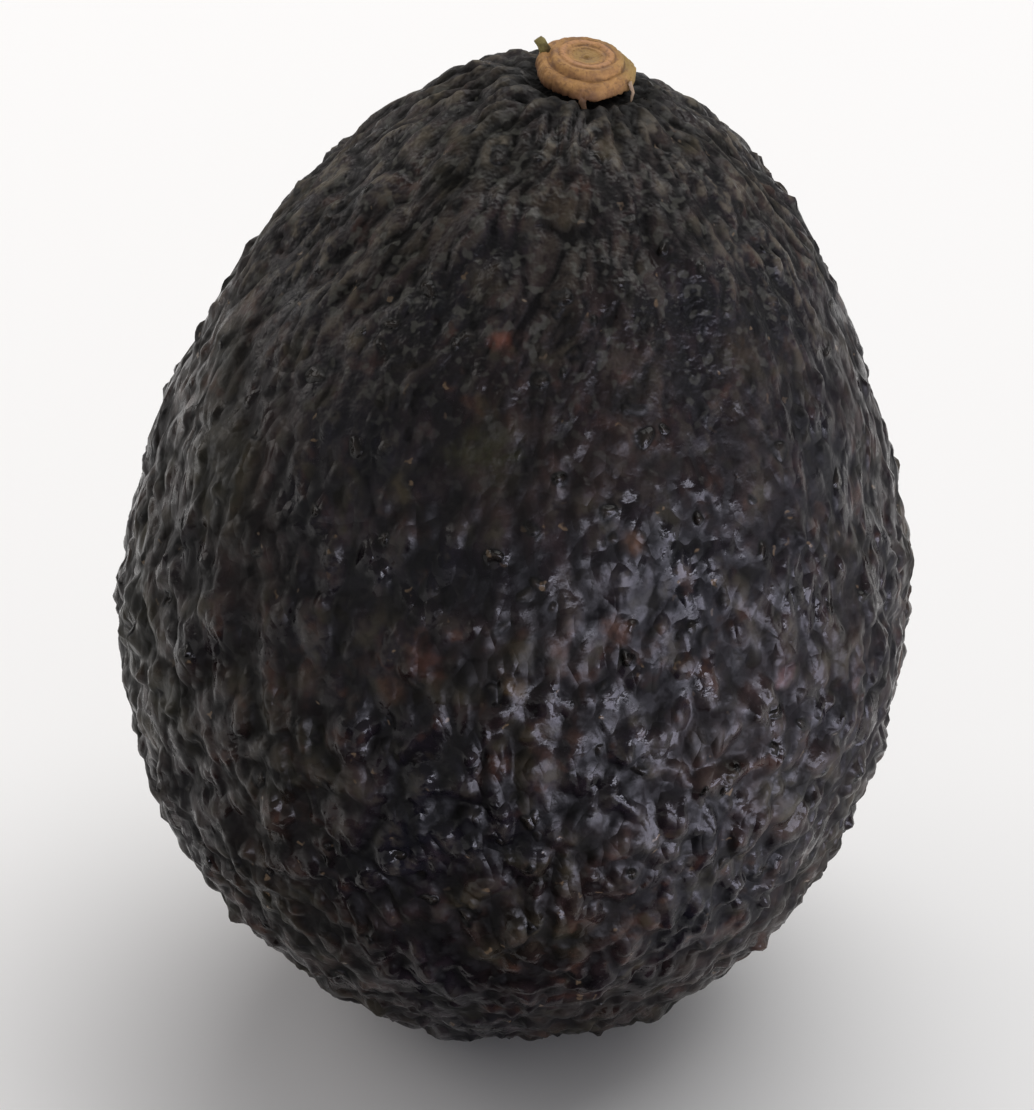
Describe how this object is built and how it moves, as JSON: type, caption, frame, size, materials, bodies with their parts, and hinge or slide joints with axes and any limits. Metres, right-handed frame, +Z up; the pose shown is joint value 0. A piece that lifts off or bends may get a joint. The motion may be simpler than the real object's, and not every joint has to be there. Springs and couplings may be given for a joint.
{
  "type": "avocado",
  "caption": "Whole dark pebbly-skinned avocado that stands on a small flat spot at its blossom end, with the corky stem button still seated at the top.",
  "frame": {"origin": "middle of the flat spot that the fruit stands on, at its blossom end", "axes": "+Z up from the flat spot to the stem end, -Y the front as pictured, +X the side that the stem end leans to"},
  "size_m": [0.073, 0.0733, 0.0962],
  "materials": {
    "skin": "semi-gloss waxy pebbled skin, purple-black with brown and olive tints",
    "stem_cork": "matt dry corky tan with concentric rings"
  },
  "bodies": {
    "root": {"fruit": "skin", "stem_button": "stem_cork"}
  },
  "joints": []
}
